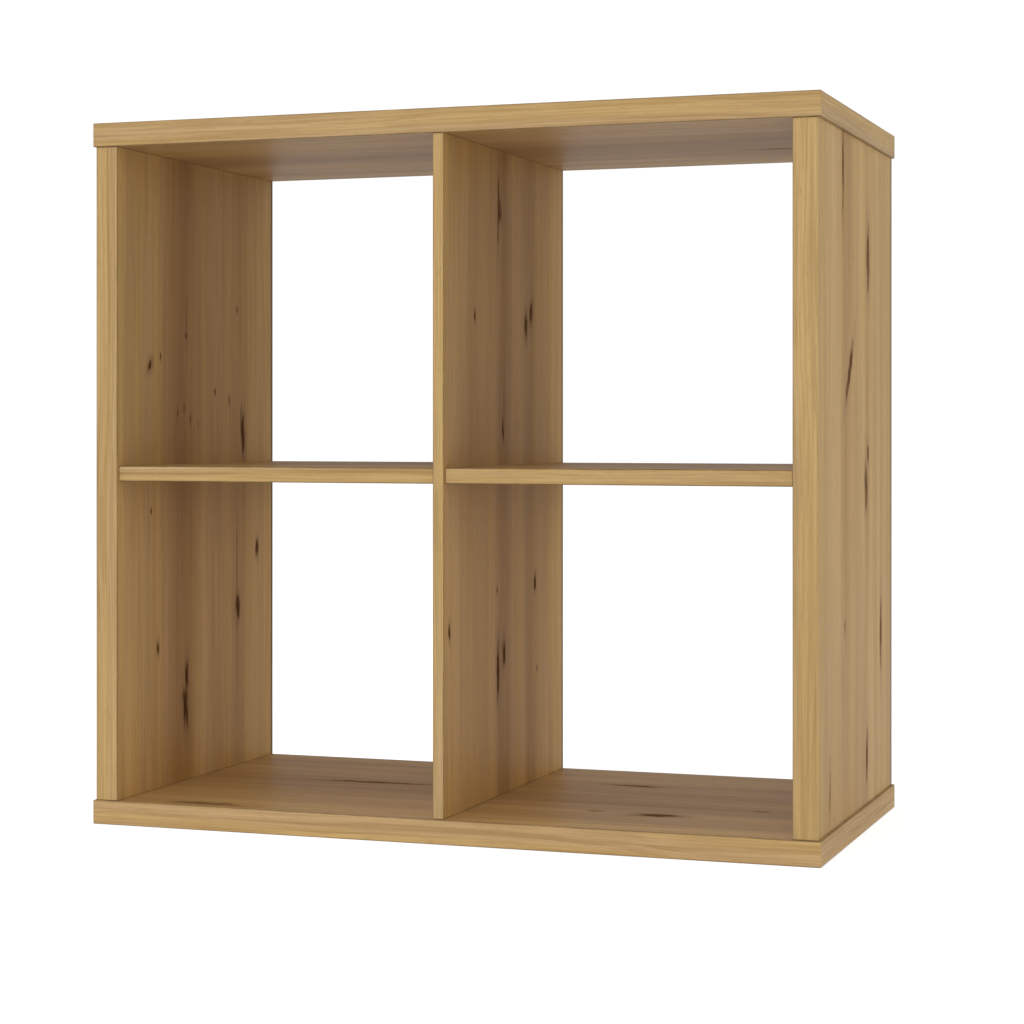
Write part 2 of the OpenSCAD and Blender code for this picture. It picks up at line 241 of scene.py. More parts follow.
def noise(tree, place, stretch, detail=2.0, rough=0.5):
    """Noise stretched by a scale per axis; returns its value from 0 to 1."""
    scaled = vector_maths(tree, "MULTIPLY", place, stretch)
    made = add_node(tree, "ShaderNodeTexNoise", Vector=scaled, Scale=1.0, Detail=detail,
                    Roughness=rough)
    return made.outputs["Fac"]


def blend_colour(tree, share, low, high, mode="MIX"):
    """Mixes two colours by a share; returns the colour."""
    settings = {"data_type": "RGBA", "blend_type": mode}
    return add_node(tree, "ShaderNodeMix", settings, _0=share, _6=low, _7=high).outputs[2]


def smooth_step(tree, value, start, end, low=0.0, high=1.0):
    """Value from start to end carried smoothly to low and high."""
    made = add_node(tree, "ShaderNodeMapRange", {"interpolation_type": "SMOOTHSTEP"}, _0=value,
                    _1=start, _2=end, _3=low, _4=high)
    return made.outputs[0]


def patches(tree, place, stretch, detail, rough, start, end, low=0.0, high=1.0):
    """Stretched noise, its values from start to end carried smoothly to low and high."""
    return smooth_step(tree, noise(tree, place, stretch, detail, rough), start, end, low, high)


def use_group(tree, group, **inputs):
    """A shader node group placed with its own values; returns its outputs."""
    return add_node(tree, "ShaderNodeGroup", {"node_tree": group}, **inputs).outputs


# Layers of the figure: noise scale across and along the grain, detail, roughness, contrast limits
BROAD_BANDS = ((19.0, 19.0, 0.8), 2.0, 0.55, 0.30, 0.70)
LONG_STREAKS = ((110.0, 110.0, 2.2), 2.0, 0.6, 0.28, 0.72)
FINE_GRAIN = ((430.0, 430.0, 5.5), 2.0, 0.6, 0.25, 0.75)
HAIR_LINES = ((210.0, 210.0, 1.3), 1.0, 0.5, 0.60, 0.74)
OPEN_PORES = ((1300.0, 1300.0, 60.0), 1.0, 0.5, 0.60, 0.74)
ROSY_PATCHES = ((70.0, 70.0, 1.1), 1.0, 0.5, 0.35, 0.65)
BEND_STRETCH = (5.0, 5.0, 2.4)
GRAIN_BEND = 0.016
BROAD_SHARE = 0.72
STREAK_SHARE = 0.19
FINE_SHARE = 0.40
HAIR_SHARE = 0.24
PORE_SHARE = 0.62
YELLOW_TINT = (1.02, 1.00, 0.91, 1.0)
ROSY_TINT = (0.98, 0.97, 1.06, 1.0)
STREAK_GLOSS = 0.06
PORE_GLOSS = 0.1


def make_figure_group():
    """Oak figure on grain coordinates in metres, z along the grain: colour, relief and gloss."""
    tree, source, target = group_tree(
        "oak_figure",
        {"Vector": ["Grain", "Seed"], "Color": ["Pale", "Deep"], "Float": ["Bands", "Streaks"]},
        {"Color": ["Color"], "Float": ["Relief", "Gloss"]})
    place = vector_maths(tree, "ADD", source["Grain"], source["Seed"])
    bend = noise(tree, place, BEND_STRETCH)
    bend = maths(tree, "MULTIPLY_ADD", bend, GRAIN_BEND, -GRAIN_BEND / 2)
    shift = add_node(tree, "ShaderNodeCombineXYZ", X=bend, Y=bend, Z=0.0).outputs[0]
    place = vector_maths(tree, "ADD", place, shift)
    broad = patches(tree, place, *BROAD_BANDS)
    streak = patches(tree, place, *LONG_STREAKS)
    fine = patches(tree, place, *FINE_GRAIN)
    hairs = patches(tree, place, *HAIR_LINES)
    pores = patches(tree, place, *OPEN_PORES)
    share = maths(tree, "MULTIPLY", broad, maths(tree, "MULTIPLY", source["Bands"], BROAD_SHARE))
    lesser = maths(tree, "MULTIPLY", streak, STREAK_SHARE)
    lesser = maths(tree, "MULTIPLY_ADD", fine, FINE_SHARE, lesser)
    lesser = maths(tree, "MULTIPLY_ADD", hairs, HAIR_SHARE, lesser)
    share = maths(tree, "MULTIPLY_ADD", lesser, source["Streaks"], share)
    colour = blend_colour(tree, share, source["Pale"], source["Deep"])
    tint = blend_colour(tree, patches(tree, place, *ROSY_PATCHES), YELLOW_TINT, ROSY_TINT)
    colour = blend_colour(tree, 1.0, colour, tint, "MULTIPLY")
    colour = blend_colour(tree, maths(tree, "MULTIPLY", pores, PORE_SHARE), colour, source["Deep"])
    relief = maths(tree, "MULTIPLY_ADD", pores, -1.0, fine)
    gloss = maths(tree, "MULTIPLY_ADD", streak, STREAK_GLOSS,
                  maths(tree, "MULTIPLY", pores, PORE_GLOSS))
    tree.links.new(colour, target["Color"])
    tree.links.new(relief, target["Relief"])
    tree.links.new(gloss, target["Gloss"])
    return tree


KNOT_TEAR = 2.4
KNOT_EDGE = (0.45, 1.0)
HALO_EDGE = (0.3, 2.2)
HALO_FRAY = 0.6
SWERVE_EDGE = (0.6, 3.6)
GRAIN_SWERVE = -0.0022


def make_knot_group():
    """One knot: pushes the grain aside, adds its dark heart and brown halo to those before it."""
    tree, source, target = group_tree(
        "oak_knot",
        {"Vector": ["Grain", "Centre", "Reach", "Push"],
         "Float": ["Strokes", "Lean", "Depth", "Dark", "Halo"]},
        {"Vector": ["Push"], "Float": ["Dark", "Halo"]})
    away = vector_maths(tree, "SUBTRACT", source["Grain"], source["Centre"])
    away = vector_maths(tree, "DIVIDE", away, source["Reach"])
    parts = split(tree, away)
    across = maths(tree, "MULTIPLY_ADD", parts["Z"], source["Lean"], parts["Y"])
    leaned = add_node(tree, "ShaderNodeCombineXYZ", X=parts["X"], Y=across, Z=parts["Z"]).outputs[0]
    far = add_node(tree, "ShaderNodeVectorMath", {"operation": "LENGTH"}, _0=leaned).outputs[1]
    torn = maths(tree, "MULTIPLY_ADD", source["Strokes"], KNOT_TEAR, -0.5 * KNOT_TEAR)
    torn = maths(tree, "ADD", torn, far)
    heart = smooth_step(tree, torn, *KNOT_EDGE, 1.0, 0.0)
    heart = maths(tree, "MULTIPLY", heart, source["Depth"])
    frayed = maths(tree, "MULTIPLY_ADD", maths(tree, "SUBTRACT", torn, far), HALO_FRAY, far)
    halo = smooth_step(tree, frayed, *HALO_EDGE, 1.0, 0.0)
    halo = maths(tree, "MULTIPLY", halo, source["Depth"])
    around = smooth_step(tree, far, *SWERVE_EDGE, 1.0, 0.0)
    slide = maths(tree, "MULTIPLY", maths(tree, "MULTIPLY", across, around), GRAIN_SWERVE)
    moved = add_node(tree, "ShaderNodeCombineXYZ", X=0.0, Y=slide, Z=0.0).outputs[0]
    tree.links.new(vector_maths(tree, "ADD", source["Push"], moved), target["Push"])
    tree.links.new(maths(tree, "MAXIMUM", source["Dark"], heart), target["Dark"])
    tree.links.new(maths(tree, "MAXIMUM", source["Halo"], halo), target["Halo"])
    return tree


SWAY_STRETCH = (3.0, 3.0, 2.6)
STRIPE_SWAY = 0.03
STRIPE_EDGE = (0.1, 1.2)


def make_heartwood_group():
    """One browner stripe along the grain: its mask added to the masks of those before it."""
    tree, source, target = group_tree(
        "heartwood_stripe",
        {"Vector": ["Grain"], "Float": ["Across", "Half Width", "Strength", "Before"]},
        {"Float": ["Mask"]})
    sway = noise(tree, source["Grain"], SWAY_STRETCH)
    sway = maths(tree, "MULTIPLY_ADD", sway, STRIPE_SWAY, -STRIPE_SWAY / 2)
    across = split(tree, source["Grain"])["Y"]
    away = maths(tree, "SUBTRACT", maths(tree, "ADD", across, sway), source["Across"])
    away = maths(tree, "DIVIDE", maths(tree, "ABSOLUTE", away), source["Half Width"])
    mask = smooth_step(tree, away, *STRIPE_EDGE, 1.0, 0.0)
    mask = maths(tree, "MULTIPLY", mask, source["Strength"])
    tree.links.new(maths(tree, "ADD", mask, source["Before"]), target["Mask"])
    return tree


# Shape of the painted edge shade: the falloff of its line, its breaks, and the falloff of the strip
# along the back edge.
LINE_EDGE = (0.5, 1.0)
LINE_BREAKS = ((60.0, 60.0, 60.0), 2.0, 0.5, 0.3, 0.6, 0.7, 1.0)
REAR_EDGE = (0.3, 1.0)


def make_edge_shade_group():
    """Painted shade along the edges of a box-shaped board or band: a dark line, broken up a little,
    and a dark strip along its back edge.
    """
    tree, source, target = group_tree(
        "painted_edge_shade",
        {"Vector": ["Place", "Low", "High"],
         "Float": ["Width", "Darkness", "Rear", "Rear Darkness"]},
        {"Float": ["Mask"]})
    from_low = vector_maths(tree, "SUBTRACT", source["Place"], source["Low"])
    from_high = vector_maths(tree, "SUBTRACT", source["High"], source["Place"])
    near = vector_maths(tree, "MINIMUM", from_low, from_high)
    part = split(tree, near)
    smaller = maths(tree, "MINIMUM", part["X"], part["Y"])
    larger = maths(tree, "MAXIMUM", part["X"], part["Y"])
    second = maths(tree, "MAXIMUM", smaller, maths(tree, "MINIMUM", larger, part["Z"]))
    line = maths(tree, "DIVIDE", second, source["Width"])
    line = smooth_step(tree, line, *LINE_EDGE, 1.0, 0.0)
    breaks = patches(tree, source["Place"], *LINE_BREAKS)
    line = maths(tree, "MULTIPLY", maths(tree, "MULTIPLY", line, breaks), source["Darkness"])
    behind = maths(tree, "DIVIDE", split(tree, from_high)["Y"], source["Rear"])
    rear = smooth_step(tree, behind, *REAR_EDGE, 1.0, 0.0)
    rear = maths(tree, "MULTIPLY", rear, source["Rear Darkness"])
    tree.links.new(maths(tree, "MAXIMUM", line, rear), target["Mask"])
    return tree


CHIP_PALE = (0.560, 0.400, 0.240, 1.0)
CHIP_DARK = (0.300, 0.185, 0.095, 1.0)
CHIP_SCALE = 620.0
CHIP_GAPS = (0.3, 0.75)
CHIP_GAP_SHARE = 0.5
CHIP_TONE_SHARE = 0.6
PAPER_THICK = 0.0003
PAPER_FADE = 0.7


def make_core_group():
    """Particleboard behind the decor paper: its mask on cut edges and in bores, and its chips."""
    tree, source, target = group_tree(
        "board_core", {"Vector": ["Place", "Low", "High", "Normal"]},
        {"Float": ["Mask"], "Color": ["Color"]})

    def along_normal(first, second):
        gap = vector_maths(tree, "SUBTRACT", first, second)
        settings = {"operation": "DOT_PRODUCT"}
        return add_node(tree, "ShaderNodeVectorMath", settings, _0=gap,
                        _1=source["Normal"]).outputs[1]

    below = along_normal(source["Place"], source["Low"])
    above = along_normal(source["High"], source["Place"])
    deep = maths(tree, "MINIMUM", below, above)
    mask = smooth_step(tree, deep, PAPER_FADE * PAPER_THICK, PAPER_THICK)
    chips = add_node(tree, "ShaderNodeTexVoronoi", Vector=source["Place"], Scale=CHIP_SCALE)
    tone = add_node(tree, "ShaderNodeSeparateColor", _0=chips.outputs["Color"]).outputs[0]
    tone = maths(tree, "MULTIPLY", tone, CHIP_TONE_SHARE)
    gaps = smooth_step(tree, chips.outputs["Distance"], *CHIP_GAPS)
    tone = maths(tree, "MULTIPLY_ADD", gaps, CHIP_GAP_SHARE, tone, clamp=True)
    tree.links.new(mask, target["Mask"])
    tree.links.new(blend_colour(tree, tone, CHIP_PALE, CHIP_DARK), target["Color"])
    return tree


FIGURE = make_figure_group()
KNOT = make_knot_group()
HEARTWOOD = make_heartwood_group()
EDGE_SHADE = make_edge_shade_group()
CORE = make_core_group()

OAK_PALE = (0.640, 0.435, 0.190, 1.0)
OAK_DEEP = (0.400, 0.240, 0.090, 1.0)
KNOT_BROWN = (0.235, 0.108, 0.044, 1.0)
KNOT_HEART = (0.082, 0.029, 0.006, 1.0)
# Colour of the painted shade along the edges and joints of boards and bands.
EDGE_SHADE_COLOUR = (0.095, 0.055, 0.024, 1.0)
HEARTWOOD_TINT = (0.65, 0.54, 0.38, 1.0)
OAK_ROUGHNESS = 0.38
GRAIN_UP = (0.0, 0.0, 0.0)
GRAIN_ACROSS = (0.0, -math.pi / 2, 0.0)
GRAIN_DEEP = (math.pi / 2, 0.0, 0.0)
FACES_UP = (0.0, 0.0, 1.0)
FACES_SIDEWAYS = (1.0, 0.0, 0.0)
OAK_SPECULAR = 0.12
OAK_BUMP = 0.35
OAK_RELIEF = 0.00012
KNOT_STROKES = ((330.0, 330.0, 42.0), 3.0, 0.65)
KNOT_MATT = 0.5
KNOT_THROUGH = 0.006
HALO_STRENGTH = 0.5
HEART_STRENGTH = 0.95
# Width and darkness of the painted shade line on boards, and width and darkness of the painted
# shade strip along their back edges.
BOARD_LINE = 0.0012
NO_LIFT = (1.0, 1.0, 1.0)
REAR_LINE = 0.0035
REAR_DARKNESS = 0.88
BOARD_DARKNESS = 0.50
NO_GAP = Vector((0, 0, 0))
CLEAR_X = Vector((0.01, 0, 0))
CLEAR_Y = Vector((0, 0.01, 0))
# Heights between which the painted light at the uprights' foot fades out.
FOOT_LOW = 0.26
FOOT_HIGH = 0.44


def finish_surface(tree, shader, colour, roughness, height, strength, distance):
    """Links a surface's colour, roughness and bump to its shader."""
    tree.links.new(colour, shader.inputs["Base Color"])
    tree.links.new(roughness, shader.inputs["Roughness"])
    bump = add_node(tree, "ShaderNodeBump", Strength=strength, Distance=distance, Height=height)
    tree.links.new(bump.outputs[0], shader.inputs["Normal"])


def oak_material(name, part_box, turn, seed, knots=(), bands=1.0, streaks=1.0, lift=NO_LIFT,
                 line=BOARD_LINE, rear=REAR_LINE, darkness=BOARD_DARKNESS, core_axis=None,
                 stripes=(), foot=0.0, plain_low=NO_GAP, plain_high=NO_GAP):
    """Knotty oak decor, in metres along its grain. Knots are pairs of a face and its knots: place
    across and along, half width, half length, lean, depth. Stripes are place, half width, share."""
    material, tree, shader = new_material(name)
    place = add_node(tree, "ShaderNodeTexCoord").outputs["Object"]
    grain = add_node(tree, "ShaderNodeMapping", Vector=place, Rotation=turn).outputs[0]
    push, dark, halo, strokes = None, None, None, None
    if knots:
        strokes = noise(tree, vector_maths(tree, "ADD", grain, seed), *KNOT_STROKES)
    flat_knots = [(face, *knot) for face, face_knots in knots for knot in face_knots]
    for face, across, along, half_width, half_length, lean, depth in flat_knots:
        values = {"Grain": grain, "Strokes": strokes, "Centre": (face, across, along),
                  "Reach": (KNOT_THROUGH, half_width, half_length), "Lean": lean, "Depth": depth}
        if push:
            values.update(Push=push, Dark=dark, Halo=halo)
        knot = use_group(tree, KNOT, **values)
        push, dark, halo = knot["Push"], knot["Dark"], knot["Halo"]
    warped = vector_maths(tree, "ADD", grain, push) if knots else grain
    pale = tuple(channel * gain for channel, gain in zip(OAK_PALE, lift)) + (1.0,)
    deep = tuple(channel * gain for channel, gain in zip(OAK_DEEP, lift)) + (1.0,)
    figure = use_group(tree, FIGURE, Grain=warped, Seed=seed, Pale=pale, Deep=deep, Bands=bands,
                       Streaks=streaks)
    colour = figure["Color"]
    stripe_mask = 0.0
    for across, half_width, strength in stripes:
        stripe_mask = use_group(tree, HEARTWOOD, Grain=warped, Across=across, Strength=strength,
                                Half_Width=half_width, Before=stripe_mask)["Mask"]
    if stripes:
        stain = blend_colour(tree, stripe_mask, WHITE, HEARTWOOD_TINT)
        colour = blend_colour(tree, 1.0, colour, stain, "MULTIPLY")
    # Painted light: the colour is made paler towards the board's foot, standing in for the brighter
    # light inside the lower cubes.
    if foot:
        paler = smooth_step(tree, split(tree, place)["Z"], FOOT_LOW, FOOT_HIGH, 1.0 + foot, 1.0)
        colour = vector_maths(tree, "MULTIPLY", colour, paler)
    if knots:
        brown = maths(tree, "MULTIPLY", halo, HALO_STRENGTH)
        colour = blend_colour(tree, brown, colour, KNOT_BROWN)
        black = maths(tree, "MULTIPLY", dark, HEART_STRENGTH)
        colour = blend_colour(tree, black, colour, KNOT_HEART)
    low, high = part_box
    # Painted shade: the colour darkens along every edge of the piece and in a strip along its back
    # edge, standing in for the shade along joints and edges.
    edge = use_group(tree, EDGE_SHADE, Place=place, Low=low - plain_low, High=high + plain_high,
                     Width=line, Darkness=darkness, Rear=rear or REAR_LINE,
                     Rear_Darkness=REAR_DARKNESS if rear else 0.0)["Mask"]
    colour = blend_colour(tree, edge, colour, EDGE_SHADE_COLOUR)
    if core_axis:
        core = use_group(tree, CORE, Place=place, Low=low, High=high, Normal=core_axis)
        colour = blend_colour(tree, core["Mask"], colour, core["Color"])
    rough = maths(tree, "ADD", figure["Gloss"], OAK_ROUGHNESS)
    relief = figure["Relief"]
    if knots:
        rough = maths(tree, "MULTIPLY_ADD", dark, KNOT_MATT, rough)
        relief = maths(tree, "SUBTRACT", relief, dark)
    shader.inputs["Specular IOR Level"].default_value = OAK_SPECULAR
    finish_surface(tree, shader, colour, rough, relief, OAK_BUMP, OAK_RELIEF)
    return material


def face_board(node, turn, seed, high_knots, low_knots, **finish):
    """Oak finish for a board that keeps its CAD shape, with knots on its high and low face."""
    low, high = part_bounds(node)
    upright = turn == GRAIN_UP
    faces = (high.x, low.x) if upright else (-high.z, -low.z)
    core_axis = FACES_SIDEWAYS if upright else FACES_UP
    material = oak_material(node + "_oak", (low, high), turn, seed,
                            list(zip(faces, (high_knots, low_knots))), core_axis=core_axis,
                            **finish)
    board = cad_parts[node]
    board.data.materials.clear()
    board.data.materials.append(material)


ARRIS_RADIUS = 0.0007
ARRIS_STEPS = 3
SAME_PLACE = 1e-6


def set_piece(name, mesh, material, node):
    """A visible piece in the place of its CAD node, held by the cabinet."""
    piece = link_object(name, mesh)
    mesh.materials.append(material)
    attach(piece, "cabinet")
    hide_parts(node)


def edge_strip(node, facing, material):
    """An edge band on its board: the four edges of its outer face are milled round."""
    low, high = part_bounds(node)
    shape = bmesh.new()
    bmesh.ops.create_cube(shape, size=1.0)
    bmesh.ops.scale(shape, verts=shape.verts, vec=high - low)
    bmesh.ops.translate(shape, verts=shape.verts, vec=(low + high) / 2)
    outer = max(vert.co.dot(facing) for vert in shape.verts)
    rim = [edge for edge in shape.edges
           if all(abs(vert.co.dot(facing) - outer) < SAME_PLACE for vert in edge.verts)]
    bmesh.ops.bevel(shape, geom=rim, offset=ARRIS_RADIUS, affect="EDGES", segments=ARRIS_STEPS,
                    profile=0.5, material=-1)
    mesh = bpy.data.meshes.new(node)
    shape.to_mesh(mesh)
    shape.free()
    set_piece(node + "_strip", mesh, material, node)


LEFTWARD, RIGHTWARD = Vector((-1, 0, 0)), Vector((1, 0, 0))
FORWARD, BACKWARD = Vector((0, -1, 0)), Vector((0, 1, 0))
BAND_BROAD = 0.28
BAND_STREAKS = 1.35
# Darkness and back-edge width of the painted shade line on bands.
BAND_DARKNESS = 0.55
REAR_BAND_LINE = 0.0016
BAND_COLOURS = (0.96, 0.985, 1.04)
FLUSH_GAP = 0.001
side_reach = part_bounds("right_side")[1].x - FLUSH_GAP


def band_material(node, turn, seed, paler=1.0, darkness=BAND_DARKNESS):
    """Oak edge band: the same decor, finer than the boards'. No painted shade line at the front
    right.
    """
    low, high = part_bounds(node)
    at_back = "back_band" in node
    at_right = high.x > side_reach
    return oak_material(node, (low, high), turn, seed, bands=BAND_BROAD, streaks=BAND_STREAKS,
                        lift=tuple(gain * paler for gain in BAND_COLOURS), rear=0.0,
                        line=REAR_BAND_LINE if at_back else BOARD_LINE,
                        darkness=REAR_DARKNESS if at_back else darkness,
                        plain_low=CLEAR_Y if "right_band" in node else NO_GAP,
                        plain_high=CLEAR_X if at_right and "front_band" in node else NO_GAP)


BOTTOM_PALER = 1.10
BOTTOM_COLOURS = (1.04, 1.005, 0.96)
bottom_upper_knots = [
    (-0.177, -0.268, 0.0090, 0.050, 0.0, 0.60),
    (0.020, -0.150, 0.0060, 0.078, -0.6, 0.75),
    (0.020, -0.187, 0.0060, 0.014, 0.0, 0.90),
    (0.088, 0.122, 0.0060, 0.036, 0.3, 0.72),
    (-0.096, 0.200, 0.0100, 0.030, -0.3, 0.85),
    (-0.040, 0.296, 0.0050, 0.010, 0.0, 0.45),
    (-0.090, 0.133, 0.0050, 0.010, 0.0, 0.50)]
bottom_under_knots = [
    (0.080, -0.160, 0.0080, 0.035, 0.1, 0.90),
    (-0.060, 0.210, 0.0070, 0.045, -0.1, 0.80)]
face_board("bottom_panel", GRAIN_ACROSS, (3.1, 0.7, 1.9), bottom_upper_knots,
           bottom_under_knots, bands=0.85, lift=BOTTOM_COLOURS)
bottom_bands = [
    ("bottom_front_band", FORWARD, GRAIN_ACROSS, (5.3, 2.2, 0.4)),
    ("bottom_back_band", BACKWARD, GRAIN_ACROSS, (6.1, 3.4, 8.2)),
    ("bottom_left_band", LEFTWARD, GRAIN_DEEP, (7.7, 1.2, 3.3)),
    ("bottom_right_band", RIGHTWARD, GRAIN_DEEP, (8.4, 5.9, 6.1))]
for band, facing, turn, seed in bottom_bands:
    edge_strip(band, facing, band_material(band, turn, seed, BOTTOM_PALER))

# ---- Sides ----
# Two upright 25 mm boards, grain running up, between the panels. Each is banded front and back;
# its ends are raw and hidden by the panels, which stand out a little past its outer face.

# Widths of the painted shade strip along the uprights' back edges.
SIDE_REAR_LINE = 0.0095
UPRIGHT_REAR_LINE = 0.0065
# Painted light: how much paler the uprights are made at their foot.
UPRIGHT_FOOT = 0.15
RIGHT_COLOURS = (0.97, 0.96, 0.90)
LEFT_COLOURS = (0.99, 0.965, 0.85)
right_stripes = [(-0.055, 0.035, 0.45), (0.045, 0.018, 0.40)]
left_stripes = [(-0.050, 0.050, 0.75), (0.100, 0.028, 0.35)]
right_outer_knots = [
    (-0.075, 0.675, 0.0050, 0.055, 0.0, 0.85),
    (0.056, 0.600, 0.0100, 0.036, 0.0, 0.80),
    (0.056, 0.576, 0.0045, 0.020, 0.0, 0.90),
    (-0.042, 0.476, 0.0085, 0.033, -2.2, 0.95),
    (0.055, 0.392, 0.0050, 0.010, 0.0, 0.95),
    (0.046, 0.360, 0.0100, 0.029, 0.0, 0.80),
    (0.128, 0.200, 0.0055, 0.042, 0.0, 0.85),
    (-0.065, 0.218, 0.0040, 0.009, 0.0, 0.70),
    (0.050, 0.074, 0.0060, 0.030, -0.3, 0.85),
    (-0.139, 0.064, 0.0035, 0.030, 0.0, 0.55)]
right_inner_knots = [
    (0.040, 0.560, 0.0070, 0.030, 0.2, 0.90),
    (-0.060, 0.200, 0.0060, 0.040, -0.1, 0.85)]
left_inner_knots = [
    (-0.120, 0.486, 0.0055, 0.009, -0.5, 1.00),
    (-0.096, 0.496, 0.0020, 0.004, 0.0, 0.70),
    (-0.035, 0.521, 0.0028, 0.006, 0.0, 0.65),
    (-0.035, 0.538, 0.0016, 0.020, 0.0, 0.45),
    (0.111, 0.408, 0.0058, 0.026, 0.0, 1.00),
    (0.106, 0.430, 0.0030, 0.018, -0.3, 0.60),
    (-0.055, 0.434, 0.0030, 0.006, 0.0, 0.40),
    (-0.040, 0.440, 0.0022, 0.006, 0.0, 0.40),
    (-0.025, 0.428, 0.0030, 0.008, 0.0, 0.45),
    (-0.006, 0.423, 0.0022, 0.005, 0.0, 0.35),
    (0.095, 0.556, 0.0030, 0.005, 0.0, 0.60),
    (0.074, 0.450, 0.0026, 0.007, 0.3, 0.50),
    (0.037, 0.459, 0.0026, 0.005, 0.0, 0.60),
    (-0.118, 0.328, 0.0024, 0.004, 0.0, 0.70),
    (0.149, 0.275, 0.0042, 0.011, 0.0, 0.95),
    (0.096, 0.209, 0.0075, 0.015, 0.0, 0.90),
    (0.095, 0.240, 0.0024, 0.085, 0.0, 0.40),
    (-0.102, 0.178, 0.0036, 0.009, 0.0, 0.85),
    (-0.036, 0.108, 0.0085, 0.028, 0.3, 1.00),
    (-0.033, 0.143, 0.0050, 0.024, 0.0, 0.95)]
left_outer_knots = [
    (0.020, 0.520, 0.0070, 0.035, 0.1, 0.90),
    (-0.080, 0.170, 0.0060, 0.030, 0.0, 0.85)]
face_board("right_side", GRAIN_UP, (2.4, 9.1, 4.2), right_outer_knots, right_inner_knots,
           bands=0.6, streaks=0.62, lift=RIGHT_COLOURS, rear=SIDE_REAR_LINE, plain_low=CLEAR_Y,
           stripes=right_stripes)
face_board("left_side", GRAIN_UP, (4.6, 7.3, 2.8), left_inner_knots, left_outer_knots,
           bands=0.55, streaks=0.85, lift=LEFT_COLOURS, rear=UPRIGHT_REAR_LINE,
           plain_low=CLEAR_Y, stripes=left_stripes, foot=UPRIGHT_FOOT)
side_bands = [
    ("left_side_front_band", FORWARD, (1.5, 4.2, 7.7)),
    ("left_side_back_band", BACKWARD, (2.9, 8.8, 1.1)),
    ("right_side_front_band", FORWARD, (9.3, 6.4, 5.2)),
    ("right_side_back_band", BACKWARD, (3.8, 2.6, 9.4))]
for band, facing, seed in side_bands:
    edge_strip(band, facing, band_material(band, GRAIN_UP, seed))

# ---- Centre divider ----
# One thin 12 mm upright board from panel to panel, banded front and back, bored through where
# the shelves' dowels and double bolts pass.

DIVIDER_COLOURS = (0.99, 0.945, 0.79)
divider_stripes = [(-0.012, 0.026, 0.65), (0.075, 0.026, 0.40)]
divider_right_knots = [
    (-0.026, 0.650, 0.0070, 0.015, 0.0, 0.75),
    (-0.030, 0.650, 0.0030, 0.052, -0.6, 0.75),
    (-0.103, 0.535, 0.0028, 0.007, 0.0, 1.00),
    (0.078, 0.545, 0.0070, 0.017, -0.2, 0.85),
    (0.061, 0.530, 0.0060, 0.018, 0.0, 0.85),
    (-0.015, 0.416, 0.0036, 0.014, 0.1, 0.85),
    (-0.012, 0.440, 0.0018, 0.030, 0.0, 0.45),
    (0.092, 0.246, 0.0036, 0.011, 0.0, 1.00),
    (-0.034, 0.245, 0.0030, 0.005, 0.0, 0.60),
    (-0.178, 0.212, 0.0034, 0.010, 0.0, 1.00),
    (-0.031, 0.158, 0.0055, 0.034, 0.0, 0.95),
    (-0.012, 0.176, 0.0055, 0.018, 0.0, 0.90),
    (0.099, 0.150, 0.0024, 0.004, 0.0, 0.60)]
divider_left_knots = [
    (0.050, 0.600, 0.0060, 0.030, 0.1, 0.90),
    (-0.050, 0.240, 0.0055, 0.035, 0.0, 0.85)]
face_board("centre_divider", GRAIN_UP, (7.9, 3.6, 6.6), divider_right_knots, divider_left_knots,
           bands=0.55, streaks=0.75, lift=DIVIDER_COLOURS, rear=UPRIGHT_REAR_LINE,
           plain_low=CLEAR_Y, stripes=divider_stripes, foot=UPRIGHT_FOOT)
for band, facing, seed in (("divider_front_band", FORWARD, (4.4, 1.9, 2.5)),
                           ("divider_back_band", BACKWARD, (8.1, 7.2, 4.9))):
    edge_strip(band, facing, band_material(band, GRAIN_UP, seed))

# ---- Dowels ----
# Turned beech dowels with pressed flutes and chamfered ends, glued half into each board: 8 mm at
# the frame corners and shelf ends, 6 mm in the ends of the divider.

DOWEL_FLUTES = 18
FLUTE_VERTS = 4
FLUTE_DEPTH = 0.0003
DOWEL_CHAMFER = 0.001
SHARP_ANGLE = math.radians(32)
STAND_UP = Matrix.Identity(4)
LIE_RIGHT = Matrix.Rotation(math.pi / 2, 4, "Y")
BEECH_PALE = (0.640, 0.440, 0.265, 1.0)
BEECH_DEEP = (0.460, 0.285, 0.155, 1.0)
BEECH_FLECK = (0.330, 0.170, 0.085, 1.0)
BEECH_FLECKS = ((1500.0, 1500.0, 260.0), 1.0, 0.5, 0.58, 0.68, 0.0, 0.5)
BEECH_BANDS = 0.5
BEECH_STREAKS = 1.2
BEECH_ROUGHNESS = 0.55
BEECH_BUMP = 0.4
BEECH_RELIEF = 0.0001


def extrude_cap(shape, cap, rise, spread):
    """Carries a cap face up by a rise, spreads its corners, and returns the new cap."""
    made = bmesh.ops.extrude_face_region(shape, geom=[cap])["geom"]
    corners = [item for item in made if isinstance(item, bmesh.types.BMVert)]
    bmesh.ops.translate(shape, verts=corners, vec=(0, 0, rise))
    bmesh.ops.scale(shape, verts=corners, vec=(spread, spread, 1))
    return next(item for item in made if isinstance(item, bmesh.types.BMFace))


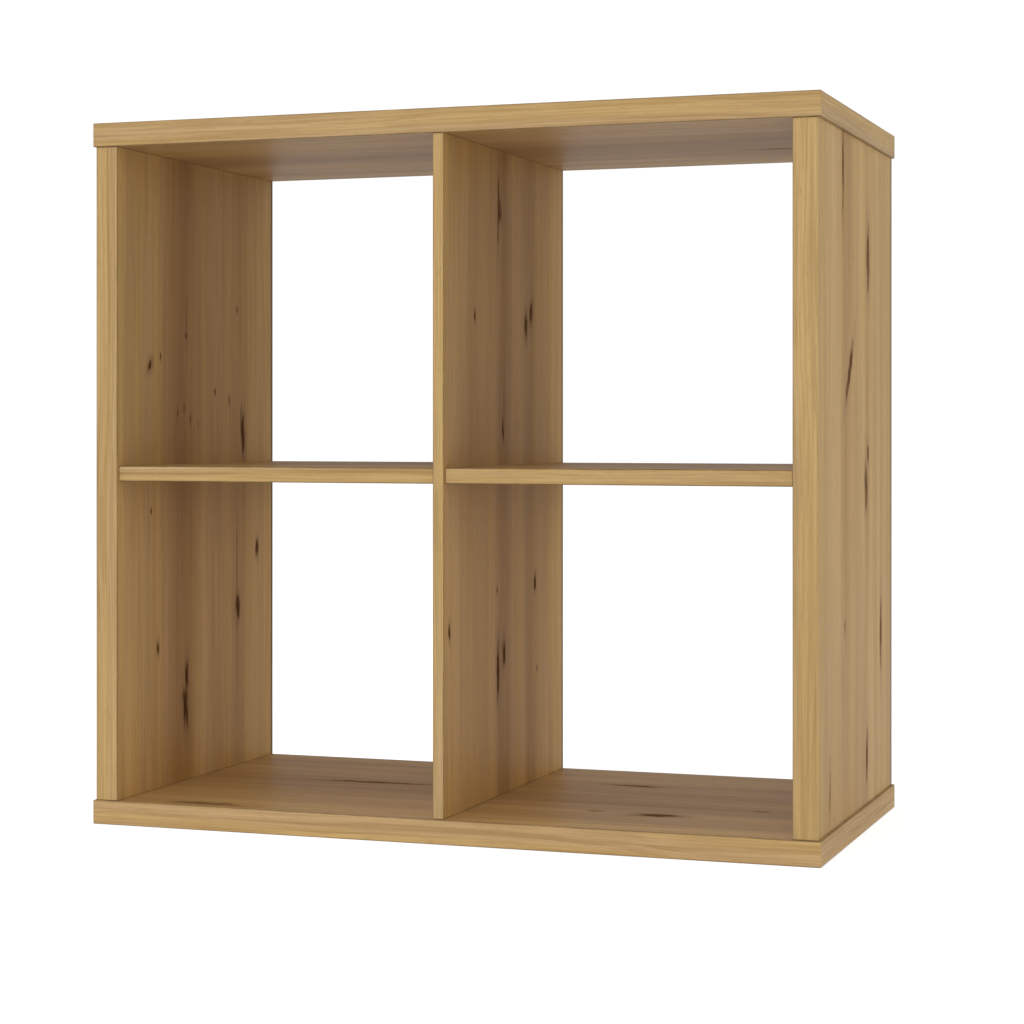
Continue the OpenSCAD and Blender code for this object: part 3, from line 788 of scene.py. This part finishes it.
def fluted_dowel(radius, length):
    """A dowel that stands on z = 0."""
    shape = bmesh.new()
    slim = radius - DOWEL_CHAMFER
    bmesh.ops.create_circle(shape, cap_ends=True, segments=DOWEL_FLUTES * FLUTE_VERTS, radius=slim)
    cap = next(iter(shape.faces))
    cap = extrude_cap(shape, cap, DOWEL_CHAMFER, radius / slim)
    cap = extrude_cap(shape, cap, length - 2 * DOWEL_CHAMFER, 1.0)
    extrude_cap(shape, cap, DOWEL_CHAMFER, slim / radius)
    step = 2 * math.pi / (DOWEL_FLUTES * FLUTE_VERTS)
    grooves = [vert for vert in shape.verts
               if vert.co.xy.length > slim + FLUTE_DEPTH
               and round(math.atan2(vert.co.y, vert.co.x) / step) % FLUTE_VERTS == 0]
    sink = (radius - FLUTE_DEPTH) / radius
    bmesh.ops.scale(shape, verts=grooves, vec=(sink, sink, 1))
    return shape


def gather(parts, name):
    """Joins bmesh shapes into one mesh, faces outwards, round faces shaded smooth."""
    whole = bmesh.new()
    for part in parts:
        loose = bpy.data.meshes.new(name)
        part.to_mesh(loose)
        part.free()
        whole.from_mesh(loose)
        bpy.data.meshes.remove(loose)
    bmesh.ops.recalc_face_normals(whole, faces=whole.faces)
    mesh = bpy.data.meshes.new(name)
    whole.to_mesh(mesh)
    whole.free()
    mesh.shade_smooth()
    mesh.set_sharp_from_angle(angle=SHARP_ANGLE)
    return mesh


def depth_places(node, radius, count):
    """Where a node's like pieces lie along the depth."""
    low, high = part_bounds(node)
    first, last = low.y + radius, high.y - radius
    return [first + (last - first) * index / (count - 1) for index in range(count)]


def beech_material(name, turn, seed):
    """Steamed beech: straight grain with short reddish flecks."""
    material, tree, shader = new_material(name)
    place = add_node(tree, "ShaderNodeTexCoord").outputs["Object"]
    grain = add_node(tree, "ShaderNodeMapping", Vector=place, Rotation=turn).outputs[0]
    figure = use_group(tree, FIGURE, Grain=grain, Seed=seed, Pale=BEECH_PALE, Deep=BEECH_DEEP,
                       Bands=BEECH_BANDS, Streaks=BEECH_STREAKS)
    flecks = patches(tree, vector_maths(tree, "ADD", grain, seed), *BEECH_FLECKS)
    colour = blend_colour(tree, flecks, figure["Color"], BEECH_FLECK)
    rough = maths(tree, "ADD", figure["Gloss"], BEECH_ROUGHNESS)
    finish_surface(tree, shader, colour, rough, figure["Relief"], BEECH_BUMP, BEECH_RELIEF)
    return material


def set_dowels(node, count, upright, seed):
    """All the dowels of one node, from the place and size of its box."""
    low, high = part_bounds(node)
    middle = (low + high) / 2
    radius = (high.x - low.x) / 2 if upright else (high.z - low.z) / 2
    length = (high.z - low.z) if upright else (high.x - low.x)
    parts = []
    for depth in depth_places(node, radius, count):
        dowel = fluted_dowel(radius, length)
        start = Vector((middle.x, depth, low.z)) if upright else Vector((low.x, depth, middle.z))
        turn = STAND_UP if upright else LIE_RIGHT
        bmesh.ops.transform(dowel, verts=dowel.verts, matrix=Matrix.Translation(start) @ turn)
        parts.append(dowel)
    beech = beech_material(node, GRAIN_UP if upright else GRAIN_ACROSS, seed)
    set_piece(node + "_set", gather(parts, node), beech, node)


dowel_groups = [
    ("bottom_left_dowels", 2, True, (1.1, 2.3, 0.7)),
    ("bottom_right_dowels", 2, True, (2.2, 0.4, 5.1)),
    ("top_left_dowels", 2, True, (3.6, 4.1, 2.2)),
    ("top_right_dowels", 2, True, (0.9, 6.3, 1.8)),
    ("divider_bottom_dowels", 3, True, (5.2, 3.3, 4.4)),
    ("divider_top_dowels", 3, True, (4.7, 5.8, 3.1)),
    ("left_shelf_dowels", 2, False, (6.4, 1.6, 0.9)),
    ("right_shelf_dowels", 2, False, (7.3, 2.9, 6.6)),
    ("divider_shelf_dowels", 2, False, (8.5, 7.7, 5.3))]
for node, count, upright, seed in dowel_groups:
    set_dowels(node, count, upright, seed)

# ---- Cam bolts ----
# Zinc-plated steel bolts with a thin neck and a ball. Those in the sides have a thread that bites
# into the board; those in the divider are double-ended and pass through it.

TURNED_STEPS = 48
THREAD_STEPS = 36
THREAD_FOOT = 0.0002
THREAD_FADE = 0.12
CREST_START = 0.40
CREST_END = 0.50
RIDGE_END = 0.90
BOLT_RADIUS = 0.0035
BOLT_NECK_RADIUS = 0.002
BOLT_NECK = 0.010
BOLT_CONE = 0.002
BOLT_BALL_RADIUS = 0.0032
BOLT_THREAD_RADIUS = 0.0025
BOLT_ROOT_RADIUS = 0.002
BOLT_PITCH = 0.002
SMALL_CHAMFER = 0.0003
BALL_RINGS = 12
BALL_END_SHARE = 0.02
BOLT_TIP_SHARE = 0.4
BOLT_TAPER_FROM = 0.9
STEEL_PALE = (0.720, 0.725, 0.715, 1.0)
STEEL_DULL = (0.500, 0.500, 0.480, 1.0)
STEEL_ROUGHNESS = 0.26
STEEL_GRAIN_SCALE = 2400.0
STEEL_RELIEF = 0.00003
METAL_BUMP = 0.3
BLOTCH_SCALE = 260.0
BLOTCH_EDGE = (0.35, 0.65)
BLOTCH_SHARE = 0.5
BLOTCH_ROUGHER = 0.12


def turned(rings):
    """A closed shape from rings of (radius, height); a third value sets a hexagon's flats."""
    shape = bmesh.new()
    bmesh.ops.create_circle(shape, cap_ends=True, segments=TURNED_STEPS, radius=1.0)
    cap = next(iter(shape.faces))
    for index, (radius, height, *flats) in enumerate(rings):
        if index:
            made = bmesh.ops.extrude_face_region(shape, geom=[cap])["geom"]
            cap = next(item for item in made if isinstance(item, bmesh.types.BMFace))
        for vert in cap.verts:
            angle = math.atan2(vert.co.y, vert.co.x)
            reach = radius
            if flats:
                reach = flats[0] / 2 / math.cos(angle % (math.pi / 3) - math.pi / 6)
            vert.co = (reach * math.cos(angle), reach * math.sin(angle), height)
    return shape


def helix(outer, root, pitch, start, length):
    """The ridge of a thread along z, which runs out at both ends."""
    shape = bmesh.new()
    foot = root - THREAD_FOOT
    corners = [(foot, 0.0), (outer, CREST_START), (outer, CREST_END), (foot, RIDGE_END)]
    verts = [shape.verts.new((reach, 0, start + share * pitch)) for reach, share in corners]
    edges = [shape.edges.new((verts[index - 1], verts[index])) for index in range(len(verts))]
    turns = length / pitch - 1
    steps = round(turns * THREAD_STEPS)
    bmesh.ops.spin(shape, geom=verts + edges, cent=(0, 0, 0), axis=(0, 0, 1),
                   dvec=(0, 0, pitch * turns / steps), angle=2 * math.pi * turns, steps=steps)
    bmesh.ops.holes_fill(shape, edges=[edge for edge in shape.edges if edge.is_boundary], sides=0)
    for vert in shape.verts:
        share = (vert.co.z - start) / length
        full = min(1.0, share / THREAD_FADE, (1 - share) / THREAD_FADE)
        reach = vert.co.xy.length
        slim = (foot + (reach - foot) * max(full, 0.0)) / reach
        vert.co.x, vert.co.y = vert.co.x * slim, vert.co.y * slim
    return shape


def bolt_rings(reach):
    """Rings of a bolt's free end, from the board's face to the tip of its ball."""
    neck_start = reach - BOLT_NECK
    rings = [(BOLT_RADIUS, neck_start), (BOLT_NECK_RADIUS, neck_start + BOLT_CONE)]
    join = math.asin(BOLT_NECK_RADIUS / BOLT_BALL_RADIUS)
    for index in range(BALL_RINGS + 1):
        angle = join + (math.pi - join) * index / (BALL_RINGS + 0.5)
        height = reach - BOLT_BALL_RADIUS * math.cos(angle)
        rings.append((BOLT_BALL_RADIUS * math.sin(angle), height))
    rings.append((BOLT_BALL_RADIUS * BALL_END_SHARE, reach + BOLT_BALL_RADIUS))
    return rings


def make_metal_group():
    """Blotchy zinc on small metal parts: tone, roughness and relief."""
    tree, source, target = group_tree(
        "zinc_skin",
        {"Vector": ["Place"], "Float": ["Grain Scale", "Roughness"], "Color": ["Pale", "Dull"]},
        {"Color": ["Color"], "Float": ["Roughness", "Relief"]})
    blotch = add_node(tree, "ShaderNodeTexNoise", Vector=source["Place"], Scale=BLOTCH_SCALE,
                      Detail=3.0)
    blotch = smooth_step(tree, blotch.outputs["Fac"], *BLOTCH_EDGE)
    speck = add_node(tree, "ShaderNodeTexNoise", Vector=source["Place"],
                     Scale=source["Grain Scale"], Detail=2.0).outputs["Fac"]
    share = maths(tree, "MULTIPLY", blotch, BLOTCH_SHARE)
    share = maths(tree, "MULTIPLY_ADD", speck, 1 - BLOTCH_SHARE, share)
    tree.links.new(blend_colour(tree, share, source["Pale"], source["Dull"]), target["Color"])
    rough = maths(tree, "MULTIPLY_ADD", blotch, BLOTCH_ROUGHER, source["Roughness"])
    tree.links.new(rough, target["Roughness"])
    tree.links.new(speck, target["Relief"])
    return tree


ZINC_SKIN = make_metal_group()


def metal_material(name, pale, dull, roughness, grain_scale, relief):
    """Plated steel or cast zinc."""
    material, tree, shader = new_material(name)
    place = add_node(tree, "ShaderNodeTexCoord").outputs["Object"]
    skin = use_group(tree, ZINC_SKIN, Place=place, Pale=pale, Dull=dull, Roughness=roughness,
                     Grain_Scale=grain_scale)
    shader.inputs["Metallic"].default_value = 1.0
    finish_surface(tree, shader, skin["Color"], skin["Roughness"], skin["Relief"], METAL_BUMP,
                   relief)
    return material


plated_steel = metal_material("zinc_plated_steel", STEEL_PALE, STEEL_DULL, STEEL_ROUGHNESS,
                              STEEL_GRAIN_SCALE, STEEL_RELIEF)
side_bolts = [
    ("left_cam_bolts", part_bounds("left_side")[1].x, LIE_RIGHT),
    ("right_cam_bolts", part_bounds("right_side")[0].x, LIE_RIGHT.inverted())]
for node, inner_face, turn in side_bolts:
    low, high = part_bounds(node)
    screwed_in = min(abs(low.x - inner_face), abs(high.x - inner_face))
    reach = max(abs(low.x - inner_face), abs(high.x - inner_face)) - BOLT_BALL_RADIUS
    parts = []
    for depth in depth_places(node, BOLT_RADIUS, 2):
        body = turned([(BOLT_ROOT_RADIUS * BOLT_TIP_SHARE, -screwed_in),
                       (BOLT_ROOT_RADIUS, -BOLT_TAPER_FROM * screwed_in),
                       (BOLT_ROOT_RADIUS, 0.0), (BOLT_RADIUS - SMALL_CHAMFER, 0.0),
                       (BOLT_RADIUS, SMALL_CHAMFER)] + bolt_rings(reach))
        ridge = helix(BOLT_THREAD_RADIUS, BOLT_ROOT_RADIUS, BOLT_PITCH, -screwed_in,
                      screwed_in - SMALL_CHAMFER)
        place = Matrix.Translation((inner_face, depth, (low.z + high.z) / 2)) @ turn
        for part in (body, ridge):
            bmesh.ops.transform(part, verts=part.verts, matrix=place)
            parts.append(part)
    set_piece(node + "_set", gather(parts, node), plated_steel, node)

node = "divider_cam_bolts"
low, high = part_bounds(node)
divider_low, divider_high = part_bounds("centre_divider")
half_divider = (divider_high.x - divider_low.x) / 2
free_end = bolt_rings(high.x - half_divider - BOLT_BALL_RADIUS)
far_end = [(radius, height + half_divider) for radius, height in free_end]
near_end = [(radius, -height) for radius, height in reversed(far_end)]
parts = []
for depth in depth_places(node, BOLT_RADIUS, 2):
    body = turned(near_end + far_end)
    place = Matrix.Translation((0, depth, (low.z + high.z) / 2)) @ LIE_RIGHT
    bmesh.ops.transform(body, verts=body.verts, matrix=place)
    parts.append(body)
set_piece(node + "_set", gather(parts, node), plated_steel, node)

# ---- Shelves ----
# Two 16 mm boards, grain running left to right, held between a side and the divider. Their
# fronts lie a few millimetres behind the frame's. Cam locks are let in from below.

SHELF_PALER = 1.04
# Darkness of the painted shade line along the shelves' bands.
SHELF_BAND_DARKNESS = 0.75
face_board("left_shelf", GRAIN_ACROSS, (5.7, 9.9, 3.9),
           [(0.060, -0.120, 0.0075, 0.039, 0.1, 0.90)],
           [(-0.040, -0.230, 0.0067, 0.039, -0.1, 0.85)])
face_board("right_shelf", GRAIN_ACROSS, (1.3, 5.5, 8.6),
           [(-0.050, 0.240, 0.0075, 0.044, -0.1, 0.85)],
           [(0.050, 0.130, 0.0067, 0.033, 0.1, 0.90)])
shelf_bands = [
    ("left_shelf_front_band", FORWARD, (6.6, 4.8, 1.4)),
    ("left_shelf_back_band", BACKWARD, (2.2, 6.7, 7.1)),
    ("right_shelf_front_band", FORWARD, (9.8, 3.1, 2.3)),
    ("right_shelf_back_band", BACKWARD, (5.1, 8.3, 5.8))]
for band, facing, seed in shelf_bands:
    edge_strip(band, facing, band_material(band, GRAIN_ACROSS, seed, SHELF_PALER,
                                           SHELF_BAND_DARKNESS))

# ---- Cam locks ----
# Die-cast zinc drums let in from under the shelves, each with a cross recess for a screwdriver.
# Half a turn draws the bolt's ball in behind the drum's off-centre lip. They keep the CAD shape.

CAST_PALE = (0.560, 0.565, 0.570, 1.0)
CAST_DULL = (0.330, 0.335, 0.345, 1.0)
CAST_ROUGHNESS = 0.38
CAST_GRAIN_SCALE = 900.0
CAST_RELIEF = 0.00006
cast_zinc = metal_material("cast_zinc", CAST_PALE, CAST_DULL, CAST_ROUGHNESS, CAST_GRAIN_SCALE,
                           CAST_RELIEF)
for name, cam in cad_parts.items():
    if name.endswith("_cam"):
        cam.data.materials.clear()
        cam.data.materials.append(cast_zinc)

# ---- Top panel and its edge bands ----
# The same board as the bottom panel turned over, lying on the sides and the divider, with knots
# and edge bands of its own. Four cover caps are let in over its screws.

top_upper_knots = [
    (0.050, -0.180, 0.0090, 0.044, 0.1, 0.95),
    (-0.080, 0.060, 0.0060, 0.066, 0.0, 0.80),
    (0.100, 0.250, 0.0075, 0.033, -0.1, 0.90)]
top_under_knots = [
    (0.060, 0.300, 0.0053, 0.044, 0.0, 0.60)]
face_board("top_panel", GRAIN_ACROSS, (8.8, 1.4, 5.5), top_upper_knots, top_under_knots)
top_bands = [
    ("top_front_band", FORWARD, GRAIN_ACROSS, (3.7, 7.9, 9.1)),
    ("top_back_band", BACKWARD, GRAIN_ACROSS, (1.8, 2.7, 4.6)),
    ("top_left_band", LEFTWARD, GRAIN_DEEP, (6.9, 9.5, 2.1)),
    ("top_right_band", RIGHTWARD, GRAIN_DEEP, (4.1, 6.2, 7.4))]
for band, facing, turn, seed in top_bands:
    edge_strip(band, facing, band_material(band, turn, seed))

# ---- Frame screws ----
# Seven millimetre zinc-plated screws with a flat countersunk head and a 4 mm hexagon socket, two
# through each end of the bottom and top panels into the end grain of a side.

SCREW_HEAD_RIM = 0.0015
SCREW_HEAD_CONE = 0.002
SCREW_SHANK_RADIUS = 0.003
SCREW_SHANK = 0.013
SCREW_THREAD_RADIUS = 0.0035
SCREW_CORE_RADIUS = 0.0023
SCREW_PITCH = 0.003
SCREW_TIP = 0.002
SOCKET_FLATS = 0.004
SOCKET_DEEP = 0.003
SOCKET_MOUTH = 0.0044


def frame_screw(head_radius, length):
    """A screw with the outer face of its head at z = 0 and its tip at z = length."""
    head_end = SCREW_HEAD_RIM + SCREW_HEAD_CONE
    thread_start = head_end + SCREW_SHANK
    thread_end = length - SCREW_TIP
    body = turned([(0, SOCKET_DEEP, SOCKET_FLATS), (0, SMALL_CHAMFER, SOCKET_FLATS),
                   (0, 0, SOCKET_MOUTH), (head_radius - SMALL_CHAMFER, 0),
                   (head_radius, SMALL_CHAMFER), (head_radius, SCREW_HEAD_RIM),
                   (SCREW_SHANK_RADIUS, head_end), (SCREW_SHANK_RADIUS, thread_start),
                   (SCREW_CORE_RADIUS, thread_start + SMALL_CHAMFER),
                   (SCREW_CORE_RADIUS, thread_end), (SMALL_CHAMFER, length)])
    ridge = helix(SCREW_THREAD_RADIUS, SCREW_CORE_RADIUS, SCREW_PITCH, thread_start,
                  thread_end - thread_start)
    return body, ridge


TURN_OVER = Matrix.Rotation(math.pi, 4, "X")
for node, from_above in (("bottom_left_screws", False), ("bottom_right_screws", False),
                         ("top_left_screws", True), ("top_right_screws", True)):
    low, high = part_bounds(node)
    head_radius = (high.x - low.x) / 2
    parts = []
    for depth in depth_places(node, head_radius, 2):
        head = Vector(((low.x + high.x) / 2, depth, high.z if from_above else low.z))
        place = Matrix.Translation(head) @ (TURN_OVER if from_above else STAND_UP)
        for part in frame_screw(head_radius, high.z - low.z):
            bmesh.ops.transform(part, verts=part.verts, matrix=place)
            parts.append(part)
    set_piece(node + "_set", gather(parts, node), plated_steel, node)

# ---- Cover caps ----
# Moulded plastic discs in an oak colour, flush with the top panel, with a hexagonal spigot that
# is pushed into the socket of the screw below.

CAP_DISC = 0.001
CAP_SPIGOT_FLATS = 0.0038
CAP_PALE = (0.500, 0.330, 0.145, 1.0)
CAP_DEEP = (0.400, 0.250, 0.105, 1.0)
CAP_CLOUDS = ((160.0, 600.0, 160.0), 3.0, 0.5, 0.3, 0.7)
CAP_GRIT = ((3500.0, 3500.0, 3500.0), 1.0)
CAP_ROUGHNESS = 0.42
CAP_ROUGHER = 0.08
CAP_BUMP = 0.3
CAP_RELIEF = 0.00004

cap_plastic, cap_tree, cap_shader = new_material("oak_cap_plastic")
cap_place = add_node(cap_tree, "ShaderNodeTexCoord").outputs["Object"]
cap_cloud = patches(cap_tree, cap_place, *CAP_CLOUDS)
cap_colour = blend_colour(cap_tree, cap_cloud, CAP_PALE, CAP_DEEP)
cap_grit = noise(cap_tree, cap_place, *CAP_GRIT)
cap_rough = maths(cap_tree, "MULTIPLY_ADD", cap_cloud, CAP_ROUGHER, CAP_ROUGHNESS)
finish_surface(cap_tree, cap_shader, cap_colour, cap_rough, cap_grit, CAP_BUMP, CAP_RELIEF)

for node in ("top_left_caps", "top_right_caps"):
    low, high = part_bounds(node)
    cap_radius = (high.x - low.x) / 2
    deep = high.z - low.z
    parts = []
    for depth in depth_places(node, cap_radius, 2):
        cap = turned([(0, 0, CAP_SPIGOT_FLATS - 2 * SMALL_CHAMFER),
                      (0, SMALL_CHAMFER, CAP_SPIGOT_FLATS), (0, deep - CAP_DISC, CAP_SPIGOT_FLATS),
                      (cap_radius, deep - CAP_DISC), (cap_radius, deep - SMALL_CHAMFER),
                      (cap_radius - SMALL_CHAMFER, deep)])
        bmesh.ops.translate(cap, verts=cap.verts, vec=((low.x + high.x) / 2, depth, low.z))
        parts.append(cap)
    set_piece(node + "_set", gather(parts, node), cap_plastic, node)
